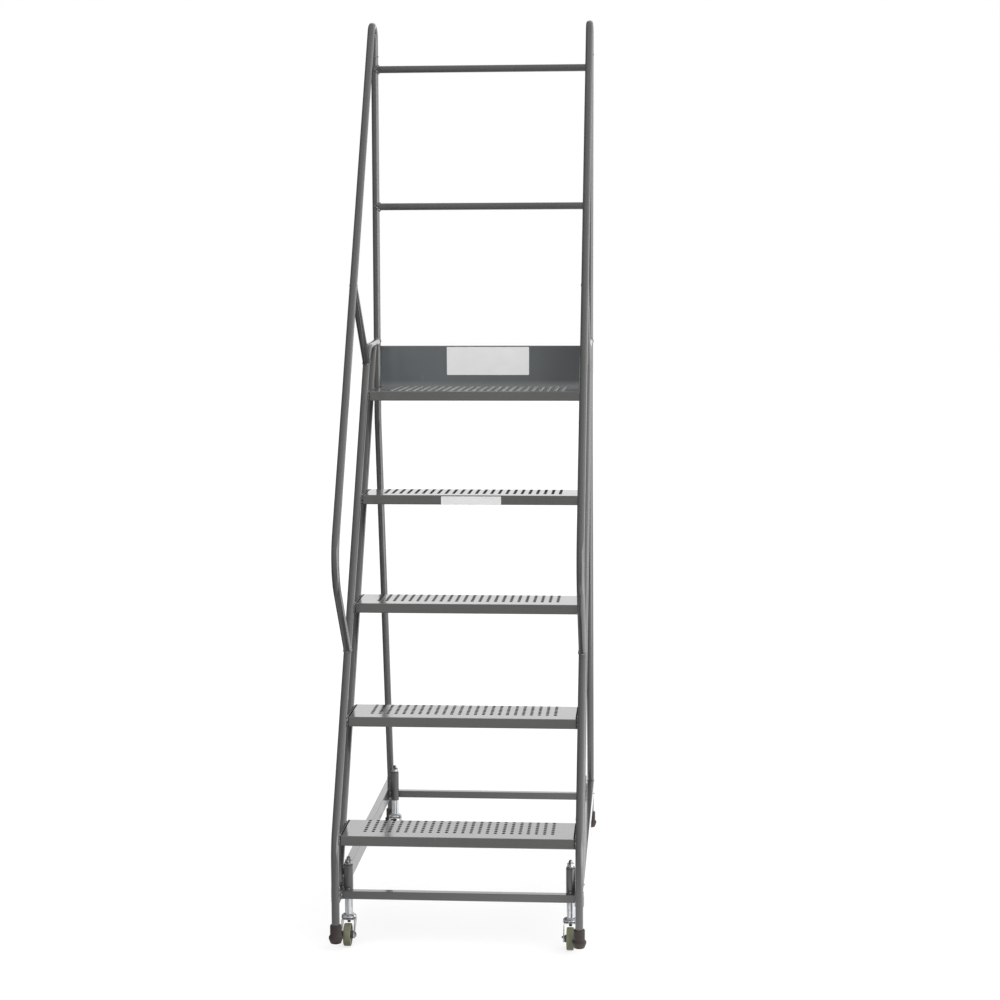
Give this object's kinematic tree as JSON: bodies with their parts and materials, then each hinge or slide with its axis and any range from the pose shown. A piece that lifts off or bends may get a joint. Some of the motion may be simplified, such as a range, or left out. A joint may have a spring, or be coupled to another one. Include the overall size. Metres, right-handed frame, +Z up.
{
  "type": "mobile ladder stand",
  "caption": "Tubular steel mobile ladder stand with folded sheet treads, a guarded platform, looped handrails and spring-loaded swivel castors that sink so rubber feet grip when it is climbed.",
  "frame": {"origin": "centre of the footprint, on the floor under the unloaded castors", "axes": "+Z up, +Y from the climbing side to the rear guard, +X to the climber's right"},
  "size_m": [0.6086, 1.1054, 2.257],
  "materials": {
    "tube_paint": "gloss mid-grey enamel",
    "sheet_paint": "gloss mid-grey enamel",
    "zinc": "bright zinc plate",
    "spring_steel": "oiled spring wire",
    "foot_rubber": "matt moulded rubber",
    "wheel": "matt olive moulding"
  },
  "bodies": {
    "frame": {"base_rail_left": "tube_paint", "base_rail_right": "tube_paint", "castor_sleeve_front_left": "tube_paint", "castor_sleeve_front_right": "tube_paint", "castor_sleeve_rear_left": "tube_paint", "castor_sleeve_rear_right": "tube_paint", "castor_spring_front_left": "spring_steel", "castor_spring_front_right": "spring_steel", "castor_spring_rear_left": "spring_steel", "castor_spring_rear_right": "spring_steel", "foot_front_left": "foot_rubber", "foot_front_right": "foot_rubber", "foot_rear_left": "foot_rubber", "foot_rear_right": "foot_rubber", "front_crossbar": "tube_paint", "handrail_left": "tube_paint", "handrail_right": "tube_paint", "handrail_strut_left": "tube_paint", "handrail_strut_right": "tube_paint", "mid_guard_rail": "tube_paint", "platform": "sheet_paint", "rear_crossbar": "tube_paint", "rear_leg_left": "tube_paint", "rear_leg_right": "tube_paint", "rear_post_left": "tube_paint", "rear_post_right": "tube_paint", "rear_string_left": "tube_paint", "rear_string_right": "tube_paint", "stile_left": "tube_paint", "stile_right": "tube_paint", "toe_board": "sheet_paint", "top_guard_rail": "tube_paint", "tread_1": "sheet_paint", "tread_2": "sheet_paint", "tread_3": "sheet_paint", "tread_4": "sheet_paint"},
    "stem_front_left": {"castor_stem_front_left": "zinc", "castor_nut_front_left": "zinc"},
    "fork_front_left": {"castor_fork_front_left": "zinc", "castor_axle_front_left": "zinc"},
    "wheel_front_left": {"castor_wheel_front_left": "wheel"},
    "stem_front_right": {"castor_stem_front_right": "zinc", "castor_nut_front_right": "zinc"},
    "fork_front_right": {"castor_fork_front_right": "zinc", "castor_axle_front_right": "zinc"},
    "wheel_front_right": {"castor_wheel_front_right": "wheel"},
    "stem_rear_left": {"castor_stem_rear_left": "zinc", "castor_nut_rear_left": "zinc"},
    "fork_rear_left": {"castor_fork_rear_left": "zinc", "castor_axle_rear_left": "zinc"},
    "wheel_rear_left": {"castor_wheel_rear_left": "wheel"},
    "stem_rear_right": {"castor_stem_rear_right": "zinc", "castor_nut_rear_right": "zinc"},
    "fork_rear_right": {"castor_fork_rear_right": "zinc", "castor_axle_rear_right": "zinc"},
    "wheel_rear_right": {"castor_wheel_rear_right": "wheel"}
  },
  "joints": [
    {"name": "stem_slide_front_left", "type": "slide", "parent": "frame", "child": "stem_front_left", "axis": [0, 0, 1], "range_m": [0, 0.022], "stiffness_N_per_m": 5000, "springref_m": -0.026, "deforming": ["castor_spring_front_left"]},
    {"name": "fork_swivel_front_left", "type": "hinge", "parent": "stem_front_left", "child": "fork_front_left", "pos_m": [-0.265, -0.471, 0.06], "axis": [0, 0, 1], "continuous": true},
    {"name": "wheel_roll_front_left", "type": "hinge", "parent": "fork_front_left", "child": "wheel_front_left", "pos_m": [-0.265, -0.493, 0.027], "axis": [1, 0, 0], "continuous": true},
    {"name": "stem_slide_front_right", "type": "slide", "parent": "frame", "child": "stem_front_right", "axis": [0, 0, 1], "range_m": [0, 0.022], "stiffness_N_per_m": 5000, "springref_m": -0.026, "deforming": ["castor_spring_front_right"]},
    {"name": "fork_swivel_front_right", "type": "hinge", "parent": "stem_front_right", "child": "fork_front_right", "pos_m": [0.265, -0.471, 0.06], "axis": [0, 0, 1], "continuous": true},
    {"name": "wheel_roll_front_right", "type": "hinge", "parent": "fork_front_right", "child": "wheel_front_right", "pos_m": [0.265, -0.493, 0.027], "axis": [1, 0, 0], "continuous": true},
    {"name": "stem_slide_rear_left", "type": "slide", "parent": "frame", "child": "stem_rear_left", "axis": [0, 0, 1], "range_m": [0, 0.022], "stiffness_N_per_m": 5000, "springref_m": -0.026, "deforming": ["castor_spring_rear_left"]},
    {"name": "fork_swivel_rear_left", "type": "hinge", "parent": "stem_rear_left", "child": "fork_rear_left", "pos_m": [-0.265, 0.451, 0.06], "axis": [0, 0, 1], "continuous": true},
    {"name": "wheel_roll_rear_left", "type": "hinge", "parent": "fork_rear_left", "child": "wheel_rear_left", "pos_m": [-0.265, 0.429, 0.027], "axis": [1, 0, 0], "continuous": true},
    {"name": "stem_slide_rear_right", "type": "slide", "parent": "frame", "child": "stem_rear_right", "axis": [0, 0, 1], "range_m": [0, 0.022], "stiffness_N_per_m": 5000, "springref_m": -0.026, "deforming": ["castor_spring_rear_right"]},
    {"name": "fork_swivel_rear_right", "type": "hinge", "parent": "stem_rear_right", "child": "fork_rear_right", "pos_m": [0.265, 0.451, 0.06], "axis": [0, 0, 1], "continuous": true},
    {"name": "wheel_roll_rear_right", "type": "hinge", "parent": "fork_rear_right", "child": "wheel_rear_right", "pos_m": [0.265, 0.429, 0.027], "axis": [1, 0, 0], "continuous": true}
  ]
}
